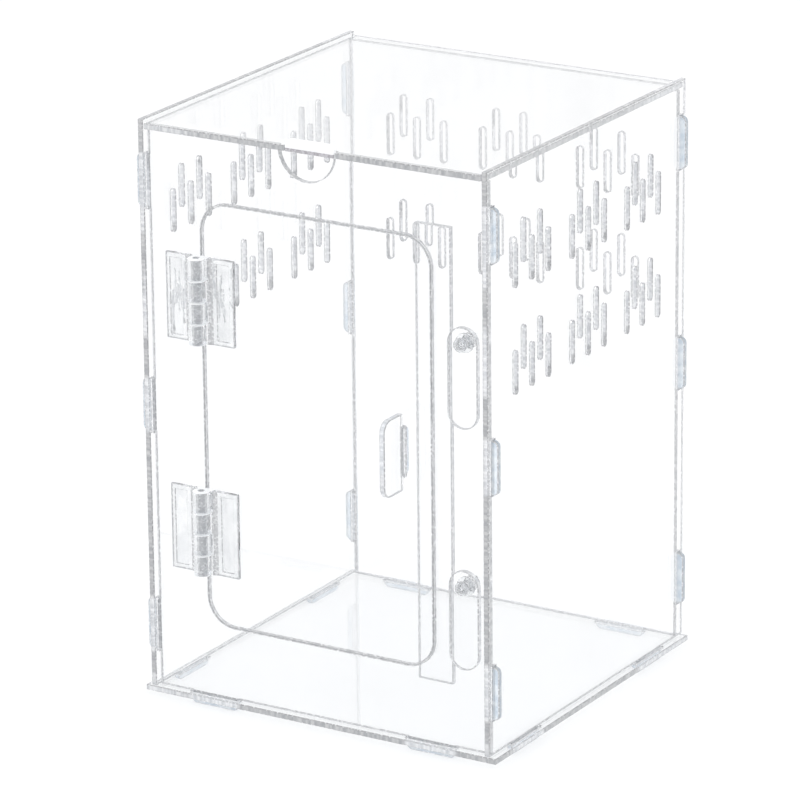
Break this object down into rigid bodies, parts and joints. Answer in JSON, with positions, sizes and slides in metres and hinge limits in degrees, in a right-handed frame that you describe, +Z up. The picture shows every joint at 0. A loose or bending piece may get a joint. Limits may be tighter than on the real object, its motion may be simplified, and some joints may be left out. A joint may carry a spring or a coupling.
{
  "type": "small animal enclosure",
  "caption": "Clear acrylic sheet enclosure for small reptiles or insects, with vent slots, a hinged front door, turn-button latches, a finger handle and a sliding lid.",
  "frame": {"origin": "centre of the overall width and depth, handle included, on the surface that the feet stand on", "axes": "+Z up, the door faces -Y, +X to the right of someone who faces the door"},
  "size_m": [0.207, 0.2144, 0.3078],
  "materials": {
    "clear_sheet": "clear cast acrylic sheet, polished faces, cut edges slightly grey-blue",
    "clear_moulding": "clear moulded acrylic with faint mould lines",
    "clear_rod": "clear turned plastic"
  },
  "bodies": {
    "enclosure": {"base_panel": "clear_sheet", "left_side_panel": "clear_sheet", "right_side_panel": "clear_sheet", "front_panel": "clear_sheet", "rear_panel": "clear_sheet", "door_stop_strip": "clear_sheet", "upper_hinge_frame_leaf": "clear_moulding", "lower_hinge_frame_leaf": "clear_moulding", "upper_hinge_pin": "clear_rod", "lower_hinge_pin": "clear_rod", "upper_latch_spacer": "clear_moulding", "lower_latch_spacer": "clear_moulding", "upper_latch_screw": "clear_rod", "lower_latch_screw": "clear_rod", "upper_latch_nut": "clear_moulding", "lower_latch_nut": "clear_moulding"},
    "door": {"door_panel": "clear_sheet", "door_handle": "clear_sheet", "upper_hinge_door_leaf": "clear_moulding", "lower_hinge_door_leaf": "clear_moulding"},
    "upper_latch": {"upper_latch_bar": "clear_sheet"},
    "lower_latch": {"lower_latch_bar": "clear_sheet"},
    "lid": {"lid_panel": "clear_sheet", "lid_pull_tab": "clear_sheet"}
  },
  "joints": [
    {"name": "door_swing", "type": "hinge", "parent": "enclosure", "child": "door", "pos_m": [-0.0662, -0.09405, 0.1563], "axis": [0, 0, -1], "range_deg": [0, 170]},
    {"name": "upper_latch_turn", "type": "hinge", "parent": "enclosure", "child": "upper_latch", "pos_m": [0.0865, -0.09285, 0.2188], "axis": [0, 1, 0], "range_deg": [0, 90]},
    {"name": "lower_latch_turn", "type": "hinge", "parent": "enclosure", "child": "lower_latch", "pos_m": [0.0865, -0.09285, 0.0938], "axis": [0, 1, 0], "range_deg": [0, 90]},
    {"name": "lid_slide", "type": "slide", "parent": "enclosure", "child": "lid", "axis": [0, -1, 0], "range_m": [0, 0.09]}
  ]
}
